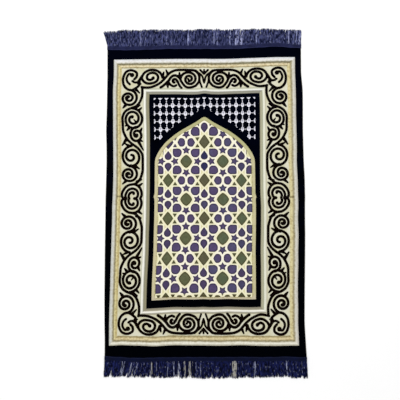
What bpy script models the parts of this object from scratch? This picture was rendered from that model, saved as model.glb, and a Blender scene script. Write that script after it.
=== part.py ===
"""A prayer rug lying flat with its face up, in metres, +Z up.

The origin is on the floor under the middle of the rug. +Y runs towards the point of the
woven arch (the rug's head) and +X to the right of someone who faces that way. The rug is
one thick woven cloth. Across each end lies a narrow woven tape, sewn over the cloth's raw
edge, and a comb of yarn locks comes out from under each tape.
"""

import math

import bpy
import numpy as np

HALF_WIDTH = 0.352  # of the cloth as it was cut, before it spread unevenly
HALF_LENGTH = 0.552
CLOTH_THICKNESS = 0.0030
SEAM_GAP = 0.0003  # clear air between two pieces that are sewn together
TAPE_WIDTH = 0.0140
TAPE_THICKNESS = 0.0012
CLOTH_UNDER_TAPE = 0.0070  # how far the cloth's end reaches under the tape
SPINE_WIDTH = 0.0045  # the yarns' bound edge, also under the tape
LOCKS_PER_END = 47
LOCK_GAP = 0.0026  # mean gap between two locks
CREASE_RISE = 0.0008  # the rug was stored folded in four, so two creases cross its middle
CREASE_HALF_WIDTH = 0.018
CELL = 0.0285  # size of the cloth's facets

# The side edges: distance from the foot end's middle line (y), and x of the left and of
# the right edge there, all in millimetres. The cloth bulges a little at its creases.
SIDES = np.array(
    [
        # y, left, right
        (-552, -345.9, 350.8),
        (-486, -346.6, 347.7),
        (-432, -348.4, 345.3),
        (-377, -349.4, 346.4),
        (-295, -350.5, 348.5),
        (-184, -351.3, 351.6),
        (-43, -351.4, 353.6),
        (42, -351.1, 355.2),
        (157, -350.7, 351.9),
        (245, -354.0, 351.6),
        (303, -352.9, 352.5),
        (391, -352.5, 353.3),
        (451, -352.5, 348.7),
        (510, -353.6, 349.2),
        (552, -354.8, 350.0),
    ]
)

# The ends: x, then y of the tape's inner edge and of the locks' tips, at the head and at
# the foot, in millimetres.
ENDS = np.array(
    [
        # x, head tape, head tips, foot tape, foot tips
        (-355, 541.5, 607, -544.5, -617),
        (-285, 539.0, 613, -548.4, -613),
        (-228, 540.7, 614, -550.7, -614),
        (-143, 544.9, 615, -549.0, -614),
        (-30, 544.1, 615, -548.3, -618),
        (83, 544.9, 616, -548.2, -619),
        (168, 548.4, 617, -548.1, -616),
        (253, 553.7, 618, -547.8, -616),
        (310, 549.6, 615, -548.6, -619),
        (355, 547.5, 613, -548.2, -618),
    ]
)


def side(y, column):
    """The x of a side edge at y: column 1 is the left edge and column 2 the right one."""
    return np.interp(y * 1000, SIDES[:, 0], SIDES[:, column]) / 1000


def end(x, column):
    """The y of a line across an end at x, by its column in ENDS."""
    return np.interp(x * 1000, ENDS[:, 0], ENDS[:, column]) / 1000


def ridge(distance):
    """The height of a soft crease at a distance from its line."""
    reach = min(abs(distance) / CREASE_HALF_WIDTH, 1)
    return CREASE_RISE * (1 + math.cos(math.pi * reach)) / 2


def lift(x, y):
    """How far the cloth's underside is off the floor: the two creases, and 0 elsewhere."""
    return max(ridge(x), ridge(y))


def material(name, color, roughness):
    made = bpy.data.materials.new(name)
    made.use_nodes = True
    shader = made.node_tree.nodes["Principled BSDF"]
    shader.inputs["Base Color"].default_value = (*color, 1)
    shader.inputs["Roughness"].default_value = roughness
    shader.inputs["Metallic"].default_value = 0
    return made


def laid_sheet(name, points, faces, thickness, finish):
    """A closed solid from the underside of a sheet: Solidify raises its upper face."""
    mesh = bpy.data.meshes.new(name)
    mesh.from_pydata(points, [], faces)
    mesh.update()
    mesh.materials.append(finish)
    made = bpy.data.objects.new(name, mesh)
    bpy.context.scene.collection.objects.link(made)
    thicken = made.modifiers.new("thickness", "SOLIDIFY")
    thicken.thickness = thickness
    thicken.offset = 1
    mesh.shade_smooth()
    mesh.set_sharp_from_angle(angle=math.radians(40))
    return made


def grid_faces(rows, columns):
    """Faces of a grid of points that is listed row by row, facing up."""
    faces = []
    for row in range(rows - 1):
        for column in range(columns - 1):
            first = row * columns + column
            faces.append((first, first + 1, first + columns + 1, first + columns))
    return faces


def stations(half_length):
    """Grid lines from -half_length to half_length, closer together over the crease at 0."""
    crease = np.linspace(-1, 1, 9) * CREASE_HALF_WIDTH
    count = math.ceil((half_length - CREASE_HALF_WIDTH) / CELL)
    away = np.linspace(CREASE_HALF_WIDTH, half_length, count + 1)[1:]
    return np.concatenate([-away[::-1], crease, away])


def spread(places, low, high):
    """Grid lines moved so that the outer two lie at low and high, those of a crease not."""
    reach = (places - np.sign(places) * CREASE_HALF_WIDTH) / (places[-1] - CREASE_HALF_WIDTH)
    far = np.where(places > 0, high - CREASE_HALF_WIDTH, -low - CREASE_HALF_WIDTH)
    moved = np.sign(places) * (CREASE_HALF_WIDTH + reach * np.sign(places) * far)
    return np.where(abs(places) > CREASE_HALF_WIDTH, moved, places)


def across(y):
    """The x of the cloth's grid lines at y, from its left edge to its right edge."""
    return spread(stations(HALF_WIDTH), side(y, 1), side(y, 2))


def cloth_end(x, column, way):
    """The y of the cloth's raw end, hidden under a tape and straight between grid lines."""
    lines = across(way * HALF_LENGTH)
    return np.interp(x, lines, end(lines, column)) + way * CLOTH_UNDER_TAPE


def make_cloth(finish):
    rows = stations(HALF_LENGTH)
    points = []
    for column, foot_x in enumerate(across(-HALF_LENGTH)):
        head_x = across(HALF_LENGTH)[column]
        foot, head = cloth_end(foot_x, 3, -1), cloth_end(head_x, 1, 1)
        for row, y in zip(rows, spread(rows, foot, head)):
            x = across(row)[column]
            points.append((x, y, lift(x, y)))
    faces = [face[::-1] for face in grid_faces(len(across(0)), len(rows))]
    return laid_sheet("rug_cloth", points, faces, CLOTH_THICKNESS, finish)


def make_tape(name, column, way, finish):
    """One end's tape: it lies on the cloth and on the comb's spine, from side to side."""
    rows = [0, TAPE_WIDTH / 2, TAPE_WIDTH]
    lines = across(way * HALF_LENGTH)
    points = []
    for out in rows if way > 0 else rows[::-1]:
        for x in lines:
            z = CLOTH_THICKNESS + SEAM_GAP + ridge(x)
            points.append((x, end(x, column) + way * out, z))
    faces = grid_faces(len(rows), len(lines))
    return laid_sheet(name, points, faces, TAPE_THICKNESS, finish)


def make_comb(name, tape_column, tip_column, way, seed, finish):
    """One end's fringe: a spine along the cloth's end and locks of yarn of uneven width."""
    rng = np.random.RandomState(seed)
    lines = across(way * HALF_LENGTH)
    left, right = lines[0], lines[-1]
    pitch = (right - left + LOCK_GAP) / LOCKS_PER_END
    points, faces = [], []

    def add(x, y, height):
        points.append((x, y, height))
        return len(points) - 1

    def face(*corners):
        faces.append(corners if way > 0 else corners[::-1])

    before = None
    for lock in range(LOCKS_PER_END):
        middle = left + pitch * (lock + 0.5) - LOCK_GAP / 2
        half = (pitch - LOCK_GAP) / 2 + rng.uniform(-0.0004, 0.0004)
        ends_here = lock in (0, LOCKS_PER_END - 1)
        half = (pitch - LOCK_GAP) / 2 if ends_here else half
        lean = 0 if ends_here else rng.uniform(-0.0006, 0.0006)
        reach = rng.uniform(-0.0045, 0.0030)
        roots = []
        for x in (middle - half, middle + half):
            inner = cloth_end(x, tape_column, way) + way * SEAM_GAP
            first = add(x, inner, ridge(x))
            roots.append((first, add(x, inner + way * SPINE_WIDTH, ridge(x))))
        if before:
            face(before[0], roots[0][0], roots[0][1], before[1])
        face(roots[0][0], roots[1][0], roots[1][1], roots[0][1])
        before = roots[1]
        root = points[roots[0][1]][1]
        tip = end(middle, tip_column) + way * reach
        last = (roots[0][1], roots[1][1])
        for share, width in ((0.30, 1.04), (0.72, 0.97), (1.0, 0.55)):
            y = root + (tip - root) * share
            x = middle + lean * share
            sag = ridge(middle) * (1 - share)
            near = (add(x - half * width, y, sag), add(x + half * width, y, sag))
            face(last[0], last[1], near[1], near[0])
            last = near
    return laid_sheet(name, points, faces, CLOTH_THICKNESS, finish)


for old in list(bpy.data.objects):
    bpy.data.objects.remove(old)

velvet = material("navy velvet cloth", (0.012, 0.013, 0.035), 0.85)
tape = material("navy woven tape", (0.020, 0.021, 0.060), 0.70)
yarn = material("navy fringe yarn", (0.035, 0.038, 0.090), 0.60)

make_cloth(velvet)
make_tape("fringe_tape_head", 1, 1, tape)
make_tape("fringe_tape_foot", 3, -1, tape)
make_comb("fringe_comb_head", 1, 2, 1, 11, yarn)
make_comb("fringe_comb_foot", 3, 4, -1, 12, yarn)
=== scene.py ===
"""The looks of a prayer rug that lies flat with its face up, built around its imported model.

Everything is in the model's frame: metres, +Z up, +Y towards the point of the woven arch.
The design is drawn in design millimetres (u across, v along, 0 in the middle), as it was
charted for the loom. lay_out() moves it to where the uneven cloth really lies.
"""

import math

import bpy
import numpy as np
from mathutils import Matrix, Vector


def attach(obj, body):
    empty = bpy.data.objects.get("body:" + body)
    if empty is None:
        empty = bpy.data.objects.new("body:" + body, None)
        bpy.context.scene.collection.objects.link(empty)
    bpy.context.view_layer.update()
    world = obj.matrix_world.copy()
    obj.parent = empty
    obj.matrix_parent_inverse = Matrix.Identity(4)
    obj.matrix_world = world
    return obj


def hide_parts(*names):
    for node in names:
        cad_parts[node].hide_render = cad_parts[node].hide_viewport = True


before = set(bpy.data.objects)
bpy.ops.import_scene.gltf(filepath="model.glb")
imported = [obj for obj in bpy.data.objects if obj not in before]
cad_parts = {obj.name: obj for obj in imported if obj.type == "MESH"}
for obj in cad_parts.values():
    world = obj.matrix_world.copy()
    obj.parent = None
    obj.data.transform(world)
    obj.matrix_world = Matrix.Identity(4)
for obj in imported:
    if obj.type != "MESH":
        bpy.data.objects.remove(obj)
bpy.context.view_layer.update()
MM = 0.001

# ------------------------------
# The ground weave. The rug is one cloth of polyester yarn: a flat, closely ribbed ground in
# creams, gold and grey, which the loom leaves bare wherever the velvet pile doesn't stand.
# Its woven stripes frame the scroll border. It isn't fixed to anything and lies on the floor.

HALF_U, WHITE_U, FRAME_U = 352.0, 329.5, 196.5  # edge, white stripe and inner frame as charted
HALF_V, WHITE_V, FRAME_V = 547.0, 510.0, 377.5
CLOTH_END_V = 554.0  # the raw ends reach 7 mm under the end tapes
UNDERSIDE, GROUND_TOP = 0.20, 1.60  # mm over the floor
WEFT, WARP, RIB_RELIEF = 0.8, 0.55, 0.00025  # width of the ribs, and their depth in metres
GROUND_CELL = 6.5
CREASE_RISE, CREASE_HALF_WIDTH = 0.8, 18.0  # it was stored folded in four
FOLD_V, CREASE_BULGE = 6.0, 3.0  # where the fold across the middle lies, and its bulge
PUCKER, PUCKERED_X, PUCKERED_Y = 0.35, 312, 492  # height and middle lines of the puckers

SIDES = np.array([
    # v, then x of: left edge, left stripe, left frame, middle, right frame, stripe, edge
    (-600, -346.4, -332.4, -203.5, -5.3, 193.0, 324.6, 352.0),
    (-540, -346.1, -332.4, -203.5, -5.3, 193.0, 325.0, 350.3),
    (-486, -346.6, -332.4, -203.4, -5.3, 193.0, 324.6, 347.7),
    (-432, -348.4, -333.0, -203.2, -5.2, 193.0, 323.0, 345.3),
    (-377, -349.4, -332.5, -203.0, -5.9, 193.0, 324.3, 346.4),
    (-350, -350.0, -331.9, -202.7, -6.1, 194.2, 323.8, 347.1),
    (-295, -350.5, -331.0, -201.7, -5.7, 194.5, 324.5, 348.5),
    (-239, -350.9, -330.7, -199.2, -5.1, 194.8, 327.0, 350.2),
    (-184, -351.3, -329.6, -196.9, -4.6, 194.2, 327.6, 351.6),
    (-127, -351.4, -329.0, -196.4, -3.5, 195.8, 330.0, 353.0),
    (-71, -351.5, -328.0, -195.0, -2.6, 196.8, 328.5, 353.2),
    (-25, -351.8, -328.2, -194.7, -2.3, 197.3, 331.0, 354.1),
    (14, -351.5, -326.8, -194.6, -2.2, 195.5, 330.3, 355.0),
    (71, -351.0, -326.0, -194.5, -2.2, 195.4, 329.9, 354.9),
    (129, -350.5, -326.6, -195.2, -2.2, 195.6, 327.7, 352.6),
    (186, -351.6, -327.8, -195.3, -2.2, 196.0, 329.0, 351.9),
    (245, -354.0, -329.1, -196.2, -2.2, 196.5, 328.6, 351.6),
    (303, -352.9, -330.2, -198.3, -2.3, 197.1, 328.0, 352.5),
    (345, -352.6, -330.9, -199.8, -2.5, 197.1, 328.7, 353.2),
    (391, -352.5, -331.9, -198.5, -2.6, 195.5, 328.6, 353.3),
    (451, -352.5, -329.5, -198.5, -2.7, 195.5, 327.2, 348.7),
    (510, -353.6, -330.0, -198.5, -2.7, 195.5, 327.6, 349.2),
    (570, -354.3, -330.0, -198.5, -2.7, 195.5, 327.6, 350.1),
])
ENDS = np.array([
    # u, then y of: foot tape, foot stripe, foot frame, middle, head frame, stripe, tape
    (-352, -544.5, -511.5, -384.5, 0, 375.5, 506.0, 541.5),
    (-313, -547.3, -511.1, -384.5, 0, 375.5, 506.2, 540.1),
    (-285, -548.4, -509.1, -384.5, 0, 375.5, 506.8, 539.5),
    (-256, -550.7, -510.4, -384.5, 0, 375.5, 507.2, 540.2),
    (-200, -550.8, -511.7, -384.0, 0, 375.5, 507.7, 542.4),
    (-171, -549.5, -513.8, -382.5, 0, 375.9, 507.9, 542.7),
    (-143, -549.0, -511.8, -380.8, 0, 375.9, 508.3, 544.9),
    (-100, -548.8, -509.6, -378.1, 0, 376.2, 508.7, 544.6),
    (-58, -548.3, -510.2, -378.7, 0, 374.9, 508.8, 544.6),
    (-22, -548.3, -510.6, -379.1, 0, 375.2, 508.9, 544.1),
    (0, -547.7, -510.6, -377.2, 1, 379.8, 508.9, 544.7),
    (22, -548.7, -511.2, -379.1, 0, 376.2, 508.7, 544.5),
    (55, -548.3, -511.5, -378.2, 0, 375.4, 508.6, 544.3),
    (83, -548.2, -511.1, -376.8, 0, 376.7, 509.1, 544.9),
    (112, -547.8, -510.0, -377.9, 0, 377.8, 509.8, 544.6),
    (140, -547.4, -509.7, -378.7, 0, 378.4, 511.4, 546.2),
    (168, -548.1, -511.1, -379.0, 0, 379.8, 512.3, 548.4),
    (197, -548.6, -511.8, -377.5, 0, 380.5, 513.2, 549.7),
    (253, -547.8, -512.1, -377.0, 0, 382.0, 515.6, 553.7),
    (282, -545.9, -511.5, -377.0, 0, 382.0, 515.8, 552.3),
    (310, -548.6, -511.0, -377.0, 0, 382.0, 515.8, 549.6),
    (352, -548.2, -511.0, -377.0, 0, 382.0, 515.8, 547.5),
])


def bell(off, width):
    """1 at 0, and falling smoothly to nearly 0 at twice the width."""
    return np.exp(-((off / width) ** 2))


def eased(place, table, column):
    """A table's column at a place, with the corners between its rows rounded off."""
    around = [np.interp(place + off, table[:, 0], table[:, column]) for off in (-9, -3, 3, 9)]
    return sum(around) / len(around)


def between_knots(place, knots, values):
    """Straight lines through (knot, value) pairs whose values differ from point to point."""
    found = np.zeros(np.shape(place))
    for index in range(len(knots) - 1):
        low, high = knots[index], knots[index + 1]
        share = (place - low) / (high - low)
        line = values[index] + (values[index + 1] - values[index]) * share
        begins = place >= low if index else np.ones(np.shape(place), bool)
        found = np.where(begins, line, found)
    return found


def lay_out(u, v):
    """Where a point of the design lies on the floor, in millimetres."""
    u, v = np.asarray(u, float), np.asarray(v, float)
    across = [-HALF_U, -WHITE_U, -FRAME_U, 0, FRAME_U, WHITE_U, HALF_U]
    along = [-HALF_V, -WHITE_V, -FRAME_V, 0, FRAME_V, WHITE_V, HALF_V]
    x = between_knots(u, across, [eased(v, SIDES, column) for column in range(1, 8)])
    y = between_knots(v, along, [eased(u, ENDS, column) for column in range(1, 8)])
    # Where the crease crosses the sides of the arch, the cloth bulges outwards a little.
    bulge = bell(v - FOLD_V, 7) * bell(abs(u) - 178, 11)
    return x + CREASE_BULGE * np.sign(u) * bulge, y


def rise(x, y):
    """How far the cloth is off the floor: two soft creases, and puckers along the stripes."""
    near = [np.minimum(abs(off) / CREASE_HALF_WIDTH, 1) for off in (x, y)]
    crease = np.maximum(*[(1 + np.cos(np.pi * share)) / 2 for share in near])
    side_wave = 0.5 + 0.5 * np.sin(y / 9.1 + 1.6 * np.sin(y / 61) + np.sign(x))
    end_wave = 0.5 + 0.5 * np.sin(x / 9.7 + 1.8 * np.sin(x / 47) + np.sign(y))
    at_side, at_end = bell(abs(x) - PUCKERED_X, 22), bell(abs(y) - PUCKERED_Y, 24)
    pucker = np.maximum(at_side * side_wave, at_end * end_wave)
    return np.maximum(CREASE_RISE * crease, PUCKER * pucker)


def keep_facts(piece, name, facts):
    """Keeps three numbers at each point of a piece, for its finish to read."""
    kept = piece.data.attributes.new(name, "FLOAT_VECTOR", "POINT")
    kept.data.foreach_set("vector", np.asarray(facts, float).ravel())


def mesh_piece(name, points, faces, finish, chart):
    """A mesh piece from points in millimetres, which keep the facts in chart."""
    mesh = bpy.data.meshes.new(name)
    mesh.from_pydata(np.asarray(points) * MM, [], faces)
    mesh.shade_smooth()
    mesh.materials.append(finish)
    piece = bpy.data.objects.new(name, mesh)
    bpy.context.scene.collection.objects.link(piece)
    keep_facts(piece, "chart", chart)
    return piece


def design_piece(name, u, v, height, faces, finish):
    """A mesh piece laid out from the design. Its chart holds u, v and height."""
    x, y = lay_out(u, v)
    points = np.column_stack([x, y, height + rise(x, y)])
    return mesh_piece(name, points, faces, finish, np.column_stack([u, v, height]))


def grid_faces(rows, columns):
    """The faces of points listed row by row, facing up if rows run along +v."""
    corner = (np.arange(rows - 1)[:, None] * columns + np.arange(columns - 1)).ravel()
    return np.column_stack([corner, corner + 1, corner + columns + 1, corner + columns])


class Shade:
    """A socket of a material's node tree. Operators between sockets add Math nodes."""

    def __init__(self, tree, socket=None):
        self.tree = tree
        self.socket = socket

    def node(self, kind, settings=None, sockets=None, output=0):
        """Adds a node: its settings are set first, then its sockets' values or links."""
        made = self.tree.nodes.new("ShaderNode" + kind)
        for name, value in (settings or {}).items():
            if name == "stops":
                self.set_stops(made.color_ramp, value)
            else:
                setattr(made, name, value)
        for name, value in (sockets or {}).items():
            if isinstance(value, Shade):
                self.tree.links.new(value.socket, made.inputs[name])
            else:
                made.inputs[name].default_value = value
        return Shade(self.tree, made.outputs[output])

    def set_stops(self, ramp, stops):
        ramp.interpolation = "LINEAR"
        while len(ramp.elements) < len(stops):
            ramp.elements.new(0.5)
        for element, (position, color) in zip(ramp.elements, stops):
            element.position = position
            element.color = color

    def math(self, operation, first, second=0.0):
        return self.node("Math", {"operation": operation}, {0: first, 1: second})

    def __add__(self, other):
        return self.math("ADD", self, other)

    def __radd__(self, other):
        return self.math("ADD", other, self)

    def __sub__(self, other):
        return self.math("SUBTRACT", self, other)

    def __rsub__(self, other):
        return self.math("SUBTRACT", other, self)

    def __mul__(self, other):
        return self.math("MULTIPLY", self, other)

    def __rmul__(self, other):
        return self.math("MULTIPLY", other, self)

    def __truediv__(self, other):
        return self.math("DIVIDE", self, other)

    def __abs__(self):
        return self.math("ABSOLUTE", self)

    def most(self, other):
        return self.math("MAXIMUM", self, other)

    def sine(self):
        return self.math("SINE", self)

    def wrapped(self, pitch):
        """The distance past the nearest whole pitch, from minus to plus half a pitch."""
        return self.node("Math", {"operation": "WRAP"}, {0: self, 1: pitch / 2, 2: -pitch / 2})

    def step(self, low, high):
        """0 below low, 1 above high, and smooth between them."""
        sockets = {"Value": self, "From Min": low, "From Max": high}
        return self.node("MapRange", {"interpolation_type": "SMOOTHSTEP"}, sockets)

    def mix(self, first, second, how="MIX"):
        """The colour first where this is 0, and second where it is 1."""
        settings = {"data_type": "RGBA", "blend_type": how}
        return self.node("Mix", settings, {0: self, 6: first, 7: second}, output=2)

    def noise(self, where, scale, detail):
        sockets = {"Vector": where, "Scale": scale, "Detail": detail}
        return self.node("TexNoise", {"noise_dimensions": "3D"}, sockets)

    def bump(self, height, distance, strength):
        sockets = {"Height": height, "Distance": distance, "Strength": strength}
        return self.node("Bump", {}, sockets)

    def tufts(self, where, scale):
        """How far each place is from the middle of its tuft of pile."""
        sockets = {"Vector": where, "Scale": scale}
        return self.node("TexVoronoi", {"feature": "F1"}, sockets, output="Distance")

    def toned(self, color, value):
        """A colour made brighter or duller."""
        return self.node("HueSaturation", {}, {"Value": value, "Color": color})

    def kept(self, name, output="Vector"):
        """What the piece's points keep under a name."""
        return self.node("Attribute", {"attribute_name": name}, output=output)

    def parts(self, vector):
        """The three numbers of a vector."""
        return [self.node("SeparateXYZ", {}, {"Vector": vector}, output=k) for k in range(3)]

    def ribs(self, u, v):
        """The fine ribs of the flat weave, across and along."""
        return (u * (math.pi / WEFT)).sine() * 0.5 + (v * (math.pi / WARP)).sine() * 0.5


def new_finish(name, shade_of, **uniform):
    """A material. shade_of gives its colour, roughness and normal; uniform is the rest."""
    made = bpy.data.materials.new(name)
    made.use_nodes = True
    shader = made.node_tree.nodes["Principled BSDF"]
    for socket, value in uniform.items():
        shader.inputs[socket.replace("_", " ")].default_value = value
    varying = shade_of(Shade(made.node_tree))
    for socket, value in zip(("Base Color", "Roughness", "Normal"), varying):
        made.node_tree.links.new(value.socket, shader.inputs[socket])
    return made


def srgb(code):
    """A colour as dyed, from its six-figure code, as linear light at full alpha."""
    parts = [int(code[k : k + 2], 16) / 255 for k in (0, 2, 4)]
    light = [p / 12.92 if p < 0.04045 else ((p + 0.055) / 1.055) ** 2.4 for p in parts]
    return (*light, 1)


CREAM, CREAM_WORN = srgb("d5d3be"), srgb("ccc8a6")
NET_WHITE, NET_GREY, BACK = srgb("e8e7f1"), srgb("acabb7"), srgb("8f8a7c")

# The woven stripes, from the scroll border outwards, and those round the arch's frame: share
# of the stripes' width, colour. Each side of the rug has slightly different colours.
STRIPES = {
    "left": """0.00 bbae80  0.20 b6a974  0.31 d2c894  0.37 c9bf8f  0.43 978e6a
               0.52 837d62  0.60 a9a592  0.74 cacac3  0.87 babcb5  1.00 bfbfb8""",
    "right": """0.00 cac092  0.22 cdc394  0.34 b8ad83  0.44 988f70  0.53 999378
                0.62 c0bcac  0.72 cecbc1  0.86 bab7af  1.00 b8b5ad""",
    "head": """0.00 958b66  0.09 978d69  0.19 dccfa9  0.29 d0c4a1  0.40 7a7457
               0.50 706b50  0.62 c8c6bc  0.72 dedddb  0.90 ccced2  1.00 c6c8cb""",
    "foot": """0.00 978b64  0.11 9c9067  0.24 cec093  0.33 d6c89d  0.43 a0946f
               0.54 867e61  0.64 cbc8b6  0.75 e6e4d6  0.86 bdbaa9  1.00 aca896""",
}
INNER_STRIPES = {
    "left": """0.00 6f6b56  0.12 878268  0.22 989275  0.35 878369  0.45 86846f  0.52 a9a899
               0.60 d6d5c9  0.69 f1f0e7  0.78 edece2  0.86 d8d7c9  0.94 bcbca6  1.00 bcbca0""",
    "right": """0.00 8a8670  0.12 9e9a81  0.20 b0ad90  0.35 a1a085  0.44 a6a78f  0.52 cfd0bb
                0.60 e4e5d4  0.69 e0dfcc  0.77 d8d5c3  0.86 c8c4af  0.94 b7b295  1.00 bcb896""",
    "head": """0.00 6c6a5e  0.10 7c796c  0.19 9c9a8b  0.28 8a8878  0.36 7f7e70  0.44 a4a197
               0.52 d4d4ce  0.60 edede5  0.69 dfe1d1  0.77 c8c9b6  0.86 b8b8a1  1.00 b8b89e""",
    "foot": """0.00 7d7867  0.10 8b8573  0.27 8f8a74  0.36 a09a84  0.44 c8c3b1  0.52 f6f2e6
               0.61 f3f0e5  0.69 d0cdc2  0.78 a19f8d  0.86 98927d  0.95 aba58a  1.00 b6b095""",
}
SIDE_FROM, END_FROM, INNER_WIDTH = 299.5, 475.5, 24.0  # where the stripes begin and end
STRIPE_WEAR, GOLD_U, FOLD_SHADE = srgb("c9bb9c"), 307.0, (0.45, 0.43, 0.38, 1)
NET_PITCH_U, NET_PITCH_V, NET_TOP = 22.6, 29.3, 336.5  # of the bare ovals over the arch


def stripe_color(shade, share, stripes):
    words = stripes.split()
    stops = [(float(place), srgb(code)) for place, code in zip(words[::2], words[1::2])]
    return shade.node("ValToRGB", {"stops": stops}, {"Fac": share})


def stripes_around(shade, u, v, side, end, stripes):
    """Stripes round a rectangle. side and end are the shares of their width passed there."""
    left, right = [stripe_color(shade, side, stripes[name]) for name in ("left", "right")]
    foot, head = [stripe_color(shade, end, stripes[name]) for name in ("foot", "head")]
    side_color, end_color = u.step(-1, 1).mix(left, right), v.step(-1, 1).mix(foot, head)
    return (end - side).step(-0.01, 0.01).mix(side_color, end_color)


def ground_shades(shade):
    chart = shade.kept("chart")
    u, v, height = shade.parts(chart)
    drift = (shade.noise(chart, 0.09, 2) - 0.5) * 0.14  # the stripes aren't quite straight
    side = (abs(u) - SIDE_FROM) / (WHITE_U - SIDE_FROM) + drift
    end = (abs(v) - END_FROM) / (WHITE_V - END_FROM) + drift
    stripes = stripes_around(shade, u, v, side, end, STRIPES)
    on_white = side.most(end).step(0.5, 0.7)
    patches = shade.noise(chart, 0.13, 3).step(0.45, 0.65) * (0.6 - on_white * 0.35)
    stripes = patches.mix(shade.toned(stripes, 1.1), STRIPE_WEAR, "MULTIPLY")
    mottle = shade.noise(chart, 0.035, 3)
    cream = mottle.step(0.35, 0.7).mix(CREAM, CREAM_WORN)
    border = side.most(end).step(-0.02, 0.02).mix(cream, stripes)
    # Painted shade of the fold across the middle darkens the gold stripes along it.
    by_fold = 1 - abs(v - FOLD_V + u * 0.003).step(1.5, 5)
    on_gold = 1 - abs(abs(u) - GOLD_U).step(6, 11)
    border = (by_fold * on_gold).mix(border, FOLD_SHADE, "MULTIPLY")
    out_side, out_end = abs(u) - FRAME_U, abs(v) - FRAME_V
    out_of_frame = out_side.most(out_end)
    side, end = out_side / INNER_WIDTH + drift * 0.4, out_end / INNER_WIDTH + drift * 0.4
    inner = stripes_around(shade, u, v, side, end, INNER_STRIPES)
    inside = out_of_frame.step(INNER_WIDTH - 0.5, INNER_WIDTH + 0.5).mix(inner, border)
    # The yarns in the upper half of each of the net's ovals lie greyer.
    from_oval = u.wrapped(NET_PITCH_U), (v - NET_TOP).wrapped(NET_PITCH_V) - 3
    grey = 1 - abs(from_oval[0]) / 7 - abs(from_oval[1]) / 10
    net = grey.step(0.1, 0.7).mix(NET_WHITE, NET_GREY)
    face = out_of_frame.step(-0.5, 0.5).mix(net, inside)
    back = height.step(UNDERSIDE + 0.2, UNDERSIDE + 0.6)
    color = back.mix(BACK, face)
    fuzz = shade.noise(chart, 1.3, 3)
    color = (fuzz * 0.5 + mottle * 0.5).step(0.3, 0.7).mix(color, shade.toned(color, 0.93))
    relief = shade.ribs(u, v) * 0.4 + fuzz
    return color, 0.62 + 0.2 * fuzz, shade.bump(relief, RIB_RELIEF, 0.6)


WOVEN_SHEEN = {"Specular_IOR_Level": 0.25, "Sheen_Weight": 0.05}
ground_finish = new_finish("ribbed ground weave", ground_shades, **WOVEN_SHEEN)


def make_ground():
    columns = 2 * round(HALF_U / GROUND_CELL) + 1
    rows = 2 * round(CLOTH_END_V / GROUND_CELL) + 1
    count = rows * columns
    grid_u = np.linspace(-HALF_U, HALF_U, columns)
    grid_v = np.linspace(-CLOTH_END_V, CLOTH_END_V, rows)
    u, v = [np.tile(side.ravel(), 2) for side in np.meshgrid(grid_u, grid_v)]
    top = grid_faces(rows, columns)
    foot, right = np.arange(columns), np.arange(1, rows) * columns + columns - 1
    head, left = count - 1 - np.arange(1, columns), np.arange(rows - 2, 0, -1) * columns
    rim = np.concatenate([foot, right, head, left])
    after = np.roll(rim, -1)
    wall = np.column_stack([rim, rim + count, after + count, after])
    faces = np.concatenate([top, top[:, ::-1] + count, wall])
    height = np.repeat([GROUND_TOP, UNDERSIDE], count)
    return design_piece("ground_weave", u, v, height, faces, ground_finish)


ground = make_ground()
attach(ground, "root")
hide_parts("rug_cloth")

# ------------------------------
# The outer velvet. A band of cut pile, navy so dark that it reads as black, runs round the
# rug outside its stripes. The pile stands in the ground weave and falls away at its edges.

PILE_TOP, PILE_FOOT = 3.00, 1.50  # the foot is just under the ground's face: no gap shows
SHOULDER = 1.8  # how far in from its edge the pile is at its full height
SPREAD = 0.9  # how far the pile flares out over its charted line
BAND_STEP, SELVEDGE = 6.0, 0.8  # facets along the band, and the bare selvedge beside it


def shoulder(inside):
    """The height of the pile at a distance inside its edge: a quarter round, then level."""
    share = np.clip(inside / SHOULDER, 0, 1)
    return PILE_FOOT + (PILE_TOP - PILE_FOOT) * np.sqrt(1 - (1 - share) ** 2)


def velvet_finish(name, dark, lit):
    def shades(shade):
        chart = shade.kept("chart")
        _, v, _ = shade.parts(chart)
        brushed = shade.noise(chart, 0.02, 3) + v * 0.0005  # the nap looks bluer at the head
        tufts = shade.tufts(chart, 1.1)
        color = brushed.step(0.35, 0.75).mix(dark, lit)
        return color, 0.85 + 0.1 * tufts, shade.bump(tufts * -1 + brushed * 0.5, 0.0006, 0.7)

    sheen = {"Sheen_Weight": 0.02, "Sheen_Roughness": 0.3, "Sheen_Tint": (0.4, 0.4, 0.6, 1)}
    return new_finish(name, shades, Specular_IOR_Level=0.01, **sheen)


velvet = velvet_finish("navy velvet pile", srgb("000104"), srgb("00020c"))


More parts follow.
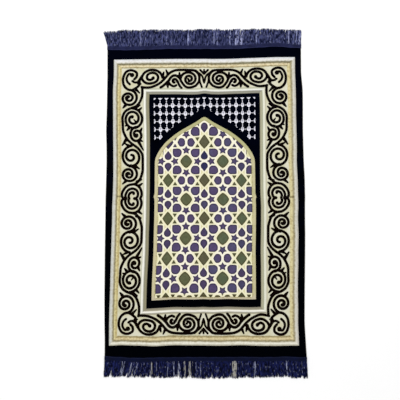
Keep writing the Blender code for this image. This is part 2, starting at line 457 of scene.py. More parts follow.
def make_outer_velvet():
    """Closed loops from the rug's edge inwards, each a rectangle with square corners."""
    width_u, width_v = HALF_U - WHITE_U, CLOTH_END_V - WHITE_V
    insets = [0, 0.4, 1.0, 1.9, 6, 11, 16]
    insets += [width_u + SPREAD - inset for inset in (1.9, 1.0, 0.4, 0)]
    count_u, count_v = round(2 * HALF_U / BAND_STEP), round(2 * HALF_V / BAND_STEP)
    share_u = np.linspace(-1, 1, count_u, endpoint=False)
    share_v = np.linspace(-1, 1, count_v, endpoint=False)
    around_u = np.concatenate([share_u, np.ones(count_v), -share_u, -np.ones(count_v)])
    around_v = np.concatenate([-np.ones(count_u), share_v, np.ones(count_u), -share_v])
    u, v, height = [], [], []
    for inset in insets:
        along = inset * width_v / width_u if inset > 2 else inset
        along = width_v - width_u + inset if inset > width_u - 3 else along
        u.append(around_u * (HALF_U - SELVEDGE - inset + (SELVEDGE if inset > 2 else 0)))
        v.append(around_v * (CLOTH_END_V - along))
        near = min(inset, width_u + SPREAD - inset)
        height.append(np.full(len(around_u), shoulder(near)))
    count = len(around_u)
    faces = []
    for ring in range(len(insets) - 1):
        first = np.arange(count) + ring * count
        after = np.roll(np.arange(count), -1) + ring * count
        faces.append(np.column_stack([first, after, after + count, first + count]))
    u, v, height, faces = [np.concatenate(parts) for parts in (u, v, height, faces)]
    return design_piece("outer_velvet", u, v, height, faces, velvet)


outer_velvet = make_outer_velvet()
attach(outer_velvet, "root")

# ------------------------------
# The scroll border. Black velvet scrolls stand on the cream ground: each quarter of the
# border is the mirror of the next, as a jacquard loom repeats it. They are volutes whose
# radius changes at each quarter turn, joined by stems and pointed leaves.

PILE_CELL = 1.3  # facets of all the pile
SCROLL_U, SCROLL_V = 303.5, 480.0  # how far out the scrolls may reach
SCROLL_WEIGHT = 4.0  # half the width of a volute's band
LEAF_TAPER = 0.6  # how much narrower a leaf is at its tip
NOTHING_NEAR = -20.0  # the depth where nothing is drawn
SCROLL_MOVED = np.array([
    # v, how far the side borders were pulled along v there: at the left, at the right
    (-440, 1.5, -2), (-390, 2.5, -3.2), (-314, 5, 1), (-226, 3.5, 1.8), (-155, 2.8, 2.8),
    (-92, -0.7, 1.1), (-35, -1.4, 2.1), (-5, -0.8, 2), (30, 0.3, 3.8), (45, 0.8, 4.5),
    (85, -1.4, 1.6), (103, -0.5, 2.8), (167, -0.7, 1.4), (238, 0.3, 1), (309, 0, 0),
    (451, -1, 0.7),
])

VOLUTES = [
    # middle u and v, first angle, way round (1 is anticlockwise), radius at each quarter turn
    (-54.5, 436.5, 180, -1, (31, 23, 23.3, 19, 13, 10.3, 10, 8)),
    (-108, 426, 0, 1, (10, 8.5, 5, 4)),
    (-190, 441, 180, -1, (36, 28.3, 39)),
    (-190, 441, 180, 1, (36.5, 21.5, 23.5, 17.3, 17.5, 7, 6)),
    (-271, 366, 90, -1, (30, 28, 26, 22.5, 16, 13, 11, 10, 4)),
    (-258, 288, 90, -1, (39, 34, 33.5, 25.3, 26, 21, 17.5, 12, 9)),
    (-246, 230, 90, 1, (28, 20, 22.3, 17.8, 14, 7.5, 7, 2)),
    (-264, 150, 90, 1, (39.5, 30.6, 33, 28.2, 25, 18.2, 13.5, 9, 7)),
    (-271, 87, 90, -1, (29.5, 26.8, 24.6, 23.4, 17.5, 10.6, 11.4, 11, 2)),
]
STEMS = [
    # half width, then the points (u, v) that the stem passes through
    (3.9, [(-253, 436), (-245, 446), (-246, 461), (-265, 469.5), (-284, 463), (-294, 441),
        (-291.5, 416), (-279, 400), (-262, 395), (-243, 405.5), (-234, 416), (-234, 431),
        (-226, 447)]),
    (3.5, [(-264, 455), (-274, 455), (-281.5, 440), (-278, 426), (-269, 417)]),
    (3.5, [(-260, 429), (-253, 424.5), (-244, 424), (-237, 430), (-229, 443)]),
    (3.9, [(-224, 405), (-195, 404.5), (-168, 415), (-150, 429), (-140, 440), (-125, 457),
        (-109, 465.5), (-95, 468), (-75, 468.8), (-55, 468.3), (-35, 466.5), (-24, 458),
        (-18, 447), (-17.2, 436), (-19, 425), (-26.5, 415), (-34, 409), (-52, 404), (-68, 408),
        (-82, 425), (-88, 439)]),
    (4.2, [(-88, 438), (-95, 444), (-104, 448), (-113, 446.5), (-121, 440), (-127, 431),
        (-138, 419), (-149, 409.5), (-157, 404)]),
    (3.7, [(-129, 425), (-126, 418.5), (-119, 411.5), (-109, 408), (-101, 411.5)]),
    (3.7, [(-82, 402.5), (-89, 411), (-97, 428)]),
    (2.7, [(-30, 467), (-21, 458.5), (-11, 450), (-5, 440), (-3, 429), (0, 419)]),
    (2.7, [(-17, 441), (-15, 424), (-8, 403)]),
    (3.0, [(0, 452), (-7, 460), (-14, 468)]),
    (2.6, [(0, 455), (0, 468)]),
    (3.9, [(-224, 405), (-223, 380), (-226, 364), (-233, 348), (-245, 335), (-258, 329.5),
        (-272, 324), (-284.6, 315), (-293, 300), (-294.9, 288), (-294, 272), (-293, 246),
        (-287.5, 230), (-278, 213), (-264, 199), (-250, 189), (-240, 181), (-233, 173),
        (-225.2, 160), (-223.1, 145), (-223, 105), (-224.4, 95), (-229.5, 77), (-235, 66),
        (-245, 54.5), (-258, 49.7), (-271, 47.5), (-283.5, 39.5), (-292, 28), (-296, 18),
        (-296, 9), (-291, 0)]),
    (3.9, [(-231, 0), (-227, 8), (-226, 18), (-229, 30), (-236, 41), (-247, 48), (-260, 50)]),
    (3.8, [(-280.5, 0), (-283.5, 8), (-281.5, 18), (-273, 30), (-259.5, 34.5), (-246, 30),
        (-239.5, 20), (-239.5, 11), (-243.5, 3), (-252, 0)]),
    (3.7, [(-269.5, 0), (-272, 8), (-269.5, 16), (-263.5, 21), (-256, 21.5), (-253.5, 18)]),
]
LEAVES = [
    # u and v of its foot, half width there, u and v of its tip
    (-131, 452, 4.5, -138, 469), (-150, 446, 4.5, -146, 461), (-89, 446, 4.5, -89.5, 459),
    (-133, 420, 5.5, -131, 404), (-247, 398.5, 4.6, -233, 384), (-238, 419, 4, -228, 418),
    (-284, 338, 4.8, -292.5, 328.5), (-246, 331, 5.5, -231, 339), (-235, 320, 4.2, -225, 329.5),
    (-247, 277, 2.8, -254, 286), (-277, 266, 4, -285, 262), (-270, 256, 5, -279, 246),
    (-231, 243, 4.5, -225.5, 254), (-236, 211, 4.5, -224, 206), (-281, 214, 5.5, -296, 192),
    (-272, 190, 4.5, -286, 197), (-238, 205, 5, -221.5, 175), (-250, 117, 4.5, -235, 107),
    (-283, 62, 4.8, -294.5, 51.5), (-243, 60, 5, -227, 67.5), (-235.5, 45, 4.6, -224.5, 53),
]
KNOBS = [
    # u, v and radius of the round ends of the volutes, and of other round fillings
    (-262, 451.5, 7.5), (-277, 366, 4.6), (-260, 295.5, 5.6), (-246, 229, 4.8),
    (-278, 87.5, 4.6), (-265, 119, 4), (-254.5, 17, 4.2), (-251, 0, 4.6), (-185, 438.5, 5.6),
    (-57.5, 435, 3.4), (-112, 426, 4.6), (-149, 442, 5.5), (0, 459, 4), (-225.5, 406.5, 4),
]


def rounded_path(points, spacing=0.7):
    """Points closely spaced on a smooth curve through the given ones."""
    given = np.array(points, float)
    padded = np.vstack([2 * given[0] - given[1], given, 2 * given[-1] - given[-2]])
    found = []
    for before, start, stop, after in zip(padded, padded[1:], padded[2:], padded[3:]):
        count = max(2, int(np.hypot(*(stop - start)) / spacing))
        t = np.linspace(0, 1, count, endpoint=False)[:, None]
        straight, bend = stop - before, 2 * before - 5 * start + 4 * stop - after
        turn = 3 * start - before - 3 * stop + after
        found.append(start + straight * t / 2 + bend * t**2 / 2 + turn * t**3 / 2)
    return np.vstack(found + [given[-1:]])


def volute_path(middle_u, middle_v, first_angle, way, radii):
    """A volute: its radius passes smoothly from one quarter turn's value to the next."""
    quarter = np.arange(len(radii))
    path = rounded_path(np.column_stack([quarter * 40.0, radii]))
    turn = np.radians(first_angle + way * 90 * path[:, 0] / 40)
    u = middle_u + path[:, 1] * np.cos(turn)
    return np.column_stack([u, middle_v + path[:, 1] * np.sin(turn)])


def draw_discs(drawn, first_u, path, radii):
    """Lays discs along a path into a grid of depths inside the drawn shape."""

    def cells(middle, reach, first, count):
        low = max(0, int((middle - reach - first) / PILE_CELL))
        return low, min(count, int((middle + reach - first) / PILE_CELL) + 2)

    rows, columns = drawn.shape
    for (u, v), radius in zip(path, np.broadcast_to(radii, len(path))):
        reach = radius + 4 * PILE_CELL
        left, right = cells(u, reach, first_u, columns)
        low, high = cells(v, reach, 0, rows)
        if right > left and high > low:
            grid_u = first_u + np.arange(left, right) * PILE_CELL
            grid_v = np.arange(low, high)[:, None] * PILE_CELL
            patch = drawn[low:high, left:right]
            np.maximum(patch, radius - np.hypot(grid_u - u, grid_v - v), out=patch)


def draw_scroll_quarter(columns, rows, first_u):
    drawn = np.full((rows, columns), NOTHING_NEAR)
    for *place, radii in VOLUTES:
        draw_discs(drawn, first_u, volute_path(*place, radii), SCROLL_WEIGHT)
    for weight, points in STEMS:
        draw_discs(drawn, first_u, rounded_path(points), weight)
    for foot_u, foot_v, weight, tip_u, tip_v in LEAVES:
        share = np.linspace(0, 1, 24)
        path = zip(foot_u + (tip_u - foot_u) * share, foot_v + (tip_v - foot_v) * share)
        draw_discs(drawn, first_u, list(path), weight * (1 - LEAF_TAPER * share**1.3))
    for *place, radius in KNOBS:
        draw_discs(drawn, first_u, [place], radius)
    return drawn


# For each way that a cell's four corners can lie in or out of a shape: the outline of the
# part inside. c is a corner and e a crossing, both anticlockwise from the lower left.
CELL_OUTLINES = {
    1: "c0 e0 e3", 2: "e0 c1 e1", 3: "c0 c1 e1 e3", 4: "e1 c2 e2", 5: "c0 e0 e1 c2 e2 e3",
    6: "e0 c1 c2 e2", 7: "c0 c1 c2 e2 e3", 8: "e3 e2 c3", 9: "c0 e0 e2 c3",
    10: "e0 c1 e1 e2 c3 e3", 11: "c0 c1 e1 e2 c3", 12: "e3 e1 c2 c3", 13: "c0 e0 e1 c2 c3",
    14: "e0 c1 c2 c3 e3", 15: "c0 c1 c2 c3",
}


def outline_shape(depth, grid_u, grid_v):
    """The part of a grid where depth is over 0: u, v and depth of its points, and faces."""
    inside = depth > 0
    found = []

    def number(mask, *values):
        """Gives each masked place the next point number, and keeps its u, v and depth."""
        ids = np.full(mask.shape, -1)
        ids[mask] = sum(len(points) for points in found) + np.arange(mask.sum())
        found.append(np.column_stack([value[mask] for value in values]))
        return ids

    def crossings(cut, on):
        """Points where the shape's edge passes between two neighbouring places."""
        crossed = inside[cut] != inside[on]
        gap = depth[cut] - depth[on]
        share = np.where(crossed, depth[cut] / np.where(gap == 0, 1, gap), 0)
        places = [side[cut] + (side[on] - side[cut]) * share for side in (u, v)]
        return number(crossed, *places, np.zeros(crossed.shape))

    u, v = np.meshgrid(grid_u, grid_v)
    nodes = number(inside, u, v, depth)
    level = crossings(np.s_[:, :-1], np.s_[:, 1:])
    upright = crossings(np.s_[:-1, :], np.s_[1:, :])
    corners = {
        "c0": nodes[:-1, :-1], "c1": nodes[:-1, 1:], "c2": nodes[1:, 1:], "c3": nodes[1:, :-1],
        "e0": level[:-1, :], "e1": upright[:, 1:], "e2": level[1:, :], "e3": upright[:, :-1],
    }
    kind = sum((corners[f"c{k}"] >= 0) * 2**k for k in range(4))
    faces = []
    for code, outline in CELL_OUTLINES.items():
        here = kind == code
        faces += np.column_stack([corners[key][here] for key in outline.split()]).tolist()
    return *np.vstack(found).T, faces


def scroll_moved(u, v):
    """How far along v a place of the scroll's side borders was pulled."""
    left, right = [np.interp(v, SCROLL_MOVED[:, 0], SCROLL_MOVED[:, k]) for k in (1, 2)]
    return np.where(u < 0, left, right) * np.clip((abs(u) - FRAME_U) / INNER_WIDTH, 0, 1)


def pile_piece(name, depth, grid_u, grid_v, finish, moved=None):
    """Cut pile that stands wherever depth is over 0, and keeps the distance inside.

    moved gives how far along v each place was pulled.
    """
    u, v, inside, faces = outline_shape(depth + SPREAD, grid_u, grid_v)
    v = v + moved(u, v) if moved else v
    piece = design_piece(name, u, v, shoulder(inside), faces, finish)
    reach = piece.data.attributes.new("reach", "FLOAT", "POINT")
    reach.data.foreach_set("value", np.minimum(inside, 20))
    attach(piece, "root")
    return piece


def grid_line(reach, cell):
    """Places a cell apart, on both sides of 0 as far as reach."""
    half = round(reach / cell)
    return np.arange(-half, half + 1) * cell


def make_scroll():
    grid_u, grid_v = grid_line(SCROLL_U, PILE_CELL), grid_line(SCROLL_V, PILE_CELL)
    columns, rows = len(grid_u) // 2 + 1, len(grid_v) // 2 + 1
    quarter = draw_scroll_quarter(columns, rows, (1 - columns) * PILE_CELL)
    half = np.hstack([quarter, quarter[:, -2::-1]])
    whole = np.vstack([half[:0:-1], half])
    finish = velvet_finish("black velvet pile", srgb("0b0402"), srgb("080405"))
    return pile_piece("scroll_velvet", whole, grid_u, grid_v, finish, scroll_moved)


scroll = make_scroll()

# ------------------------------
# The inner velvet. A black frame stands round the arch. Over the arch's shoulders the loom
# leaves a net of the white ground bare in it: upright ovals joined by stems and links.

FIELD_U, FIELD_FOOT = 180.3, -352.3  # the frame's inner edges
ARCH = np.array([
    # u from the middle, v of the arch's outer edge
    (0, 293), (10, 290), (30, 278), (60, 261), (90, 243), (120, 220.5), (144, 198.5),
    (163, 173.5), (173.5, 154), (179.3, 134), (180.3, 90), (180.3, -352.3),
])
NET_HALF_U, NET_FOOT, FLARE_V = 182.0, 211.0, 363.5
OVAL_WIDE, OVAL_UP, OVAL_DOWN = (6.4, 7.8), 11.6, 9.6  # half sizes; the widths take turns
NET_STEM = 1.45  # half the width of the net's stems and links
NET_KNOT, NET_BEAD = 2.5, 2.3  # radii where the stems and the links thicken
FLARE, FLARE_DEPTH = 3.2, 6.0  # the stems open out under the frame


def beside_line(u, v, points):
    """Distance from each place to a line through points, over 0 on the line's right."""
    nearest = np.full(np.shape(u), 1e6)
    signed = np.zeros(np.shape(u))
    for start, stop in zip(points, points[1:]):
        way = stop - start
        share = ((u - start[0]) * way[0] + (v - start[1]) * way[1]) / (way @ way)
        share = np.clip(share, 0, 1)
        off_u, off_v = u - start[0] - share * way[0], v - start[1] - share * way[1]
        far = np.hypot(off_u, off_v)
        side = np.sign(off_u * way[1] - off_v * way[0])
        signed = np.where(far < nearest - 1e-6, far * side, signed)
        nearest = np.minimum(far, nearest)
    return signed


def inside_arch(u, v, side=0.0, foot=0.0):
    """Distance inside the arch's outer edge, less a band along its sides and its foot."""
    edge = rounded_path(ARCH[:11], 4)
    within = beside_line(abs(u), v, np.vstack([edge, ARCH[-1:]]))
    return np.minimum(within - side, v - FIELD_FOOT - foot)


def inside_lens(du, dv, wide, high, power):
    """1 in the middle of an oval, 0 at its edge. At a power of 1 its sides are straight."""
    return 1 - (abs(du / wide) ** power + abs(dv / high) ** power) ** (1 / power)


def inside_net(u, v, arch):
    """Distance inside the bare net over the arch, over 0 where the ground shows."""
    column = np.round(u / NET_PITCH_U)
    du = u - column * NET_PITCH_U
    row = np.clip(np.round((v - NET_TOP) / NET_PITCH_V), -4, 0)
    dv = v - NET_TOP - row * NET_PITCH_V
    wide, up = np.where(column % 2 == 0, *OVAL_WIDE), np.where(dv > 0, OVAL_UP, OVAL_DOWN)
    oval = inside_lens(du, dv, wide, up, 1.7) * wide * 0.9
    knot = NET_KNOT - np.hypot(du, (abs(dv) - NET_PITCH_V / 2) * 0.6)
    stem = np.minimum(np.maximum(NET_STEM - abs(du), knot), FLARE_V - v)
    stem = np.where(abs(column) < 8, stem, -1)
    bead = NET_BEAD - np.hypot((abs(du) - NET_PITCH_U / 2) * 0.6, dv)
    link = np.maximum(NET_STEM - abs(dv), bead)
    flare = np.minimum(FLARE + (v - FLARE_V + 5) * 0.95 - abs(du), FLARE_V + 1.7 - v)
    flare = np.minimum(flare, v - (FLARE_V - FLARE_DEPTH))
    shape = np.maximum(np.maximum(oval, stem), np.maximum(link, flare))
    clear = 28 - 8 * (u / 160) ** 2  # of plain pile between the net and the arch
    bounds = np.minimum(NET_HALF_U - abs(u), np.minimum(-arch - clear, v - NET_FOOT))
    return np.minimum(shape, bounds)


def make_inner_velvet():
    grid_u, grid_v = [grid_line(side + PILE_CELL, PILE_CELL) for side in (FRAME_U, FRAME_V)]
    u, v = np.meshgrid(grid_u, grid_v)
    arch = inside_arch(u, v)
    depth = np.minimum(FRAME_U - abs(u), FRAME_V - abs(v))
    depth = np.minimum.reduce([depth, -arch, -inside_net(u, v, arch)])
    return pile_piece("inner_velvet", depth, grid_u, grid_v, velvet)


inner_velvet = make_inner_velvet()

# ------------------------------
# The field under the arch. It is the same flat weave in cream, with a lattice of brighter
# straps left round each coloured cell, and a beige band that outlines the arch.

REPEAT_U, REPEAT_V = 131.0, 139.0
DIAMOND_V = 65.0  # v of a row of pointed diamonds
BAND_WIDTH, FOOT_BAND_WIDTH, STRAP_WIDTH = 13.5, 9.0, 5.3
FIELD_TOP, FIELD_CELL = 1.85, 1.9  # mm over the floor, and size of its facets


def inside_corners(du, dv, corners, rounding):
    """Distance inside a convex shape with rounded corners, listed anticlockwise."""
    sides = []
    for (a_u, a_v), (b_u, b_v) in zip(corners, corners[1:] + corners[:1]):
        length = math.hypot(b_u - a_u, b_v - a_v)
        sides.append(((du - a_u) * (b_v - a_v) - (dv - a_v) * (b_u - a_u)) / length)
    soft = -rounding * np.log(sum(np.exp(np.clip(s / rounding, -30, 30)) for s in sides))
    return soft + 0.4 * rounding


def inside_drop(du, dv, wide, narrow, length):
    """Distance inside a teardrop: a round end at 0 and a pointed one at length along v."""
    slope = (wide - narrow) / length
    run = math.sqrt(1 - slope * slope)
    du = abs(du)
    along = dv * run - du * slope
    side = wide - (du * run + dv * slope)
    ball = wide - np.hypot(du, dv)
    tip = narrow - np.hypot(du, dv - length)
    return np.where(along < 0, ball, np.where(along > length * run, tip, side))


def inside_star(du, dv, outer, inner, toward):
    """Distance inside a star of five points, one of which points to an angle."""
    radius = np.hypot(du, dv)
    tenth = math.pi / 5
    turn = abs((np.arctan2(dv, du) - toward + tenth) % (2 * tenth) - tenth)
    edge = outer * inner * math.sin(tenth)
    edge = edge / (inner * np.sin(tenth - turn) + outer * np.sin(turn))
    return (edge - radius) * 0.7


# The fold across the middle takes up some of the lattice's length: v, and how far it moved.
LATTICE_MOVED = np.array([
    (-350, -1.5), (-283, 1.8), (-213, 2.2), (-143, 3.5), (-74, 3.3), (-5, 0.9), (65, -0.9),
    (134, -1.5), (204, -2.3), (254, 0.2), (270, 3.4),
])
FOOT_ROW_V = -334.0  # below this the last row of cells is cut off short
LEFT_OUT = -9.0  # the depth where a cell isn't woven
POINTED, BLUNT = (18.5, 24, 1.12), (20.5, 23, 1.4)  # diamonds: half sizes, and power
STAR_OUTER, STAR_INNER = 15.4, 7.3
SHIELD = [(-15, -14), (7, -15), (15, -8), (15, 4), (7, 14.5), (-8, 14.5), (-15, 7)]
PENTAGON = [(-14.5, 0), (-6, -14.3), (5, -14.3), (11.3, -8), (11.3, 8), (5, 14.3), (-6, 14.3)]
TICK = [(0, -6), (6.5, 5), (-6.5, 5)]


def inside_cells(u, v):
    """Distances inside the purple and the olive cells of the lattice, over 0 inside."""
    # The repeat is folded to a quarter: a pointed diamond at 0, a round one at its far corner.
    x = abs((u + REPEAT_U / 2) % REPEAT_U - REPEAT_U / 2)
    charted_v = v - np.interp(v, LATTICE_MOVED[:, 0], LATTICE_MOVED[:, 1])
    y = abs((charted_v - DIAMOND_V + REPEAT_V / 2) % REPEAT_V - REPEAT_V / 2)
    far_x, far_y = x - REPEAT_U / 2, y - REPEAT_V / 2
    pointed, blunt = inside_lens(x, y, *POINTED) * 14, inside_lens(far_x, far_y, *BLUNT) * 17
    tick = inside_corners(x - 25, y - 12, TICK, 0.4)
    shield = inside_corners(far_x + 32.5, far_y + 31, SHIELD, 1.6)
    pentagon = inside_corners(far_x + 16.8, y, PENTAGON, 1.5)
    drop = inside_drop(x, -(far_y + 17.5), 12.0, 0.8, 18.5)
    star_beside = inside_star(far_x + 41, far_y, STAR_OUTER, STAR_INNER, math.pi)
    star_below = inside_star(far_x, far_y + 41, STAR_OUTER, STAR_INNER, -math.pi / 2)
    purple = np.maximum.reduce([shield, pentagon, drop, star_beside, star_below])
    olive = np.maximum.reduce([pointed, blunt, tick])
    at_shoulder = (abs(u) > 100) & (v > 165)  # there the cut-off diamonds are purple too
    at_foot = v < FOOT_ROW_V  # and the last row, cut off short, is olive all along
    both = np.maximum(purple, olive)
    purple = np.where(at_shoulder, both, purple)
    # The arch leaves no room for these cells, and the cream ground stays bare instead.
    left_out = (abs(u) > 150) & (v > 148) | (abs(u) > 163) & (abs(y) < 22)
    purple = np.where(left_out | at_foot, LEFT_OUT, purple)
    return purple, np.where(at_shoulder, LEFT_OUT, np.where(at_foot, both, olive))


def inside_field(u, v):
    """Distance inside the lattice's own edge, inside the beige band."""
    return inside_arch(u, v, BAND_WIDTH, FOOT_BAND_WIDTH)


STRAP, STRAP_BY_OLIVE, LATTICE_GROUND = srgb("efead6"), srgb("e3dfb8"), srgb("d6d1a3")
BAND, BAND_DARK = srgb("c3ba94"), srgb("adab7b")
BAND_LINE, BAND_FOOT = srgb("9f9660"), srgb("bdb498")


def field_shades(shade):
    chart = shade.kept("chart")
    to_cell, from_band, to_olive = shade.parts(shade.kept("lattice"))
    u, v, _ = shade.parts(chart)
    mottle = shade.noise(chart, 0.06, 3)
    specks = shade.noise(chart, 0.22, 2)
    fuzz = shade.noise(chart, 1.3, 3)
    straps = to_cell.step(STRAP_WIDTH - 0.8, STRAP_WIDTH + 0.6)
    strap = (to_olive + specks * 8).step(4, 15).mix(STRAP_BY_OLIVE, STRAP)
    color = straps.mix(strap, LATTICE_GROUND)
    band = (mottle * 0.6 + v.step(120, 290) * 0.5 + u.step(0, 170) * 0.2).step(0.3, 0.8)
    band = band.mix(BAND, BAND_DARK)
    at_foot = 1 - v.step(FIELD_FOOT + 10, FIELD_FOOT + 20)
    band = at_foot.mix(band, BAND_FOOT)
    line = from_band.step(-4.2, -3.0) * (1 - from_band.step(-1.2, -0.2))
    band = (line * specks.step(0.4, 0.6)).mix(band, BAND_LINE)
    color = from_band.step(-0.5, 0.5).mix(band, color)
    relief = straps * -1.5 + shade.ribs(u, v) * 0.3 + fuzz
    return color, 0.6 + 0.2 * fuzz, shade.bump(relief, RIB_RELIEF, 0.6)


field_finish = new_finish("cream lattice weave", field_shades, **WOVEN_SHEEN)


def make_field():
    grid_u = grid_line(FIELD_U + FIELD_CELL, FIELD_CELL)
    grid_v = np.arange(FIELD_FOOT - 2, ARCH[0][1] + 4, FIELD_CELL)
    u, v = np.meshgrid(grid_u, grid_v)
    u, v, inside, faces = outline_shape(inside_arch(u, v) + 0.6, grid_u, grid_v)
    height = np.where(inside > 0, FIELD_TOP, PILE_FOOT)
    piece = design_piece("field_weave", u, v, height, faces, field_finish)
    purple, olive = inside_cells(u, v)
    facts = np.column_stack([-np.maximum(purple, olive), inside_field(u, v), -olive])
    keep_facts(piece, "lattice", facts)
    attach(piece, "root")
    return piece


field = make_field()

# ------------------------------
# The lattice's cells. Purple and olive pile fills the openings between the straps, a little
# shorter than the black velvet. The middle column's drops are woven in a bluer yarn.

# The edge colours are painted shade at the cells' rims; the olive one is also the foot row's own.
PURPLE, PURPLE_BLUE, PURPLE_RIM_SHADE = srgb("4d4263"), srgb("4b4866"), srgb("2a2138")
BLUE, BLUE_V, BLUE_REACH = srgb("2c2c4e"), 135, 42
OLIVE_PILE, OLIVE_GREEN, OLIVE_BROWN = srgb("55593f"), srgb("515a44"), srgb("55533e")
OLIVE_RIM_SHADE_AND_FOOT = srgb("443f25")


def cell_shades(plain, other, edge, middle, blue_only, drop_value):
    """Pile in two near tones. middle is the middle column's own, with blue_only 1 or 0.

    drop_value is how bright the cells in the teardrops' columns are.
    """

    def shades(shade):
        chart, reach = shade.kept("chart"), shade.kept("reach", "Fac")
        u, v, _ = shade.parts(chart)
        dye, brushed = shade.noise(chart, 0.017, 1), shade.noise(chart, 0.12, 3)
        tufts = shade.tufts(chart, 1.3)
        color = (dye + u * 0.0011).step(0.48, 0.68).mix(plain, other)
        color = abs(u.wrapped(REPEAT_U)).step(13, 15).mix(shade.toned(color, drop_value), color)
        in_middle = 1 - abs(u).step(13, 15)
        by_blue = 1 - abs(v - BLUE_V).step(BLUE_REACH, BLUE_REACH + 20)
        color = (in_middle * by_blue.most(1.0 - blue_only)).mix(color, middle)
        # Painted shade darkens the pile towards its rims, and the olive foot row takes that
        # colour all over.
        unshaded_above_foot = (reach - brushed * 3).step(-1.5, 4.5) * v.step(FOOT_ROW_V - 6, FOOT_ROW_V)
        color = unshaded_above_foot.mix(edge, color)
        color = brushed.step(0.4, 0.7).mix(color, shade.toned(color, 1.22))
        return color, 0.8 + 0.1 * tufts, shade.bump(tufts * -1 + brushed * 0.5, 0.0005, 0.6)

    return shades


PILE_SHEEN = {"Specular_IOR_Level": 0.1, "Sheen_Weight": 0.1}
purple_shades = cell_shades(PURPLE, PURPLE_BLUE, PURPLE_RIM_SHADE, BLUE, 1, 0.78)
olive_shades = cell_shades(OLIVE_PILE, OLIVE_GREEN, OLIVE_RIM_SHADE_AND_FOOT, OLIVE_BROWN, 0, 1.0)
PURPLE_SHEEN, OLIVE_SHEEN = (0.5, 0.45, 0.8, 1), (0.6, 0.65, 0.45, 1)
purple_pile = new_finish("purple pile", purple_shades, **PILE_SHEEN, Sheen_Tint=PURPLE_SHEEN)
olive_pile = new_finish("olive pile", olive_shades, **PILE_SHEEN, Sheen_Tint=OLIVE_SHEEN)


def make_cells():
    grid_u = grid_line(FIELD_U, PILE_CELL)
    grid_v = np.arange(FIELD_FOOT, ARCH[0][1], PILE_CELL)
    u, v = np.meshgrid(grid_u, grid_v)
    edge = inside_field(u, v)
    purple, olive = [np.minimum(cells, edge) for cells in inside_cells(u, v)]
    return (
        pile_piece("purple_cells", purple, grid_u, grid_v, purple_pile),
        pile_piece("olive_cells", olive, grid_u, grid_v, olive_pile),
    )


purple_cells, olive_cells = make_cells()

# ------------------------------
# The end tapes. A narrow navy tape, woven with fine cross ribs, is sewn over each raw end of
# the cloth and over the heads of the fringe's yarns, with a row of stitches by each edge.

TAPE_WIDTH = 14.0
TAPE_LOW, TAPE_TOP = 3.15, 4.25
TAPE_EDGES = {1: 7, -1: 1}  # way from the middle: column of ENDS that holds the tape's line
TAPE_V, TAPE_RIB = 548.0, 1.7  # where the tapes lie along the cloth's sides; a rib's width
STITCH_FROM_EDGE, STITCH_LENGTH = 1.96, 3.2
TAPE_PROFILE = [
    # share of the width, share of the height: raised edges, and a groove at each seam
    (0, 0), (0, 0.6), (0.06, 0.95), (0.14, 0.8), (0.22, 1), (0.5, 1.05),
    (0.78, 1), (0.86, 0.8), (0.94, 0.95), (1, 0.6), (1, 0),
]


def tape_line(x, way):
    """The y of a tape's inner edge."""
    return eased(x, ENDS, TAPE_EDGES[way])


def tape_shades(navy):
    def shades(shade):
        chart = shade.kept("chart")
        x, out, _ = shade.parts(chart)
        fuzz, wear = shade.noise(chart, 0.9, 3), shade.noise(chart, 0.06, 3)
        ribs = (x * (2 * math.pi / TAPE_RIB)).sine()
        dark, lit, thread = [
            (*(part * times + more for part in navy[:3]), 1)
            for times, more in ((0.55, 0), (1.25, 0), (2, 0.02))
        ]
        color = (wear * 0.6 + fuzz * 0.4).step(0.3, 0.7).mix(dark, lit)
        from_row = abs(abs(out - TAPE_WIDTH / 2) - (TAPE_WIDTH / 2 - STITCH_FROM_EDGE))
        drawn_in = (x * (2 * math.pi / STITCH_LENGTH)).sine().step(-0.6, 0.0)
        stitch = (1 - from_row.step(0.35, 0.8)) * drawn_in
        outer_row = out.step(TAPE_WIDTH / 2 - 1, TAPE_WIDTH / 2 + 1) * 0.6
        color = (stitch * (1 - outer_row)).mix(color, thread)
        relief = ribs * 0.5 + fuzz + stitch * 1.5
        return color, 0.55 + 0.2 * fuzz, shade.bump(relief, 0.0004, 0.8)

    return shades


def make_tape(name, way, navy):
    finish = new_finish(name + " weave", tape_shades(navy), Specular_IOR_Level=0.08)
    x = np.arange(-346.0, 348.1, 2.0)
    left, right = eased(way * TAPE_V, SIDES, 1), eased(way * TAPE_V, SIDES, 7)
    x = left + (x - x[0]) / (x[-1] - x[0]) * (right - left)
    points, chart = [], []
    for share, height in TAPE_PROFILE[::way]:
        out = share * TAPE_WIDTH + 0.35 * np.sin(x / 7.3 + 3 * share)
        y = tape_line(x, way) + way * out
        z = TAPE_LOW + (TAPE_TOP - TAPE_LOW) * height + rise(x, np.full(len(x), 200.0))
        points.append(np.column_stack([x, y, z]))
        chart.append(np.column_stack([x, np.full(len(x), share * TAPE_WIDTH), z]))
    faces = grid_faces(len(TAPE_PROFILE), len(x))
    piece = mesh_piece(name, np.vstack(points), faces, finish, np.vstack(chart))
    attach(piece, "root")
    return piece


head_tape = make_tape("head_tape", 1, srgb("1d2144"))
foot_tape = make_tape("foot_tape", -1, srgb("020929"))
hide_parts("fringe_tape_head")
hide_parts("fringe_tape_foot")

# ------------------------------
# The fringes. Soft twisted yarns hang in locks from under each tape and lie on the floor,
# brushed out by use. The locks differ in width, length and lean, and some yarns stray.

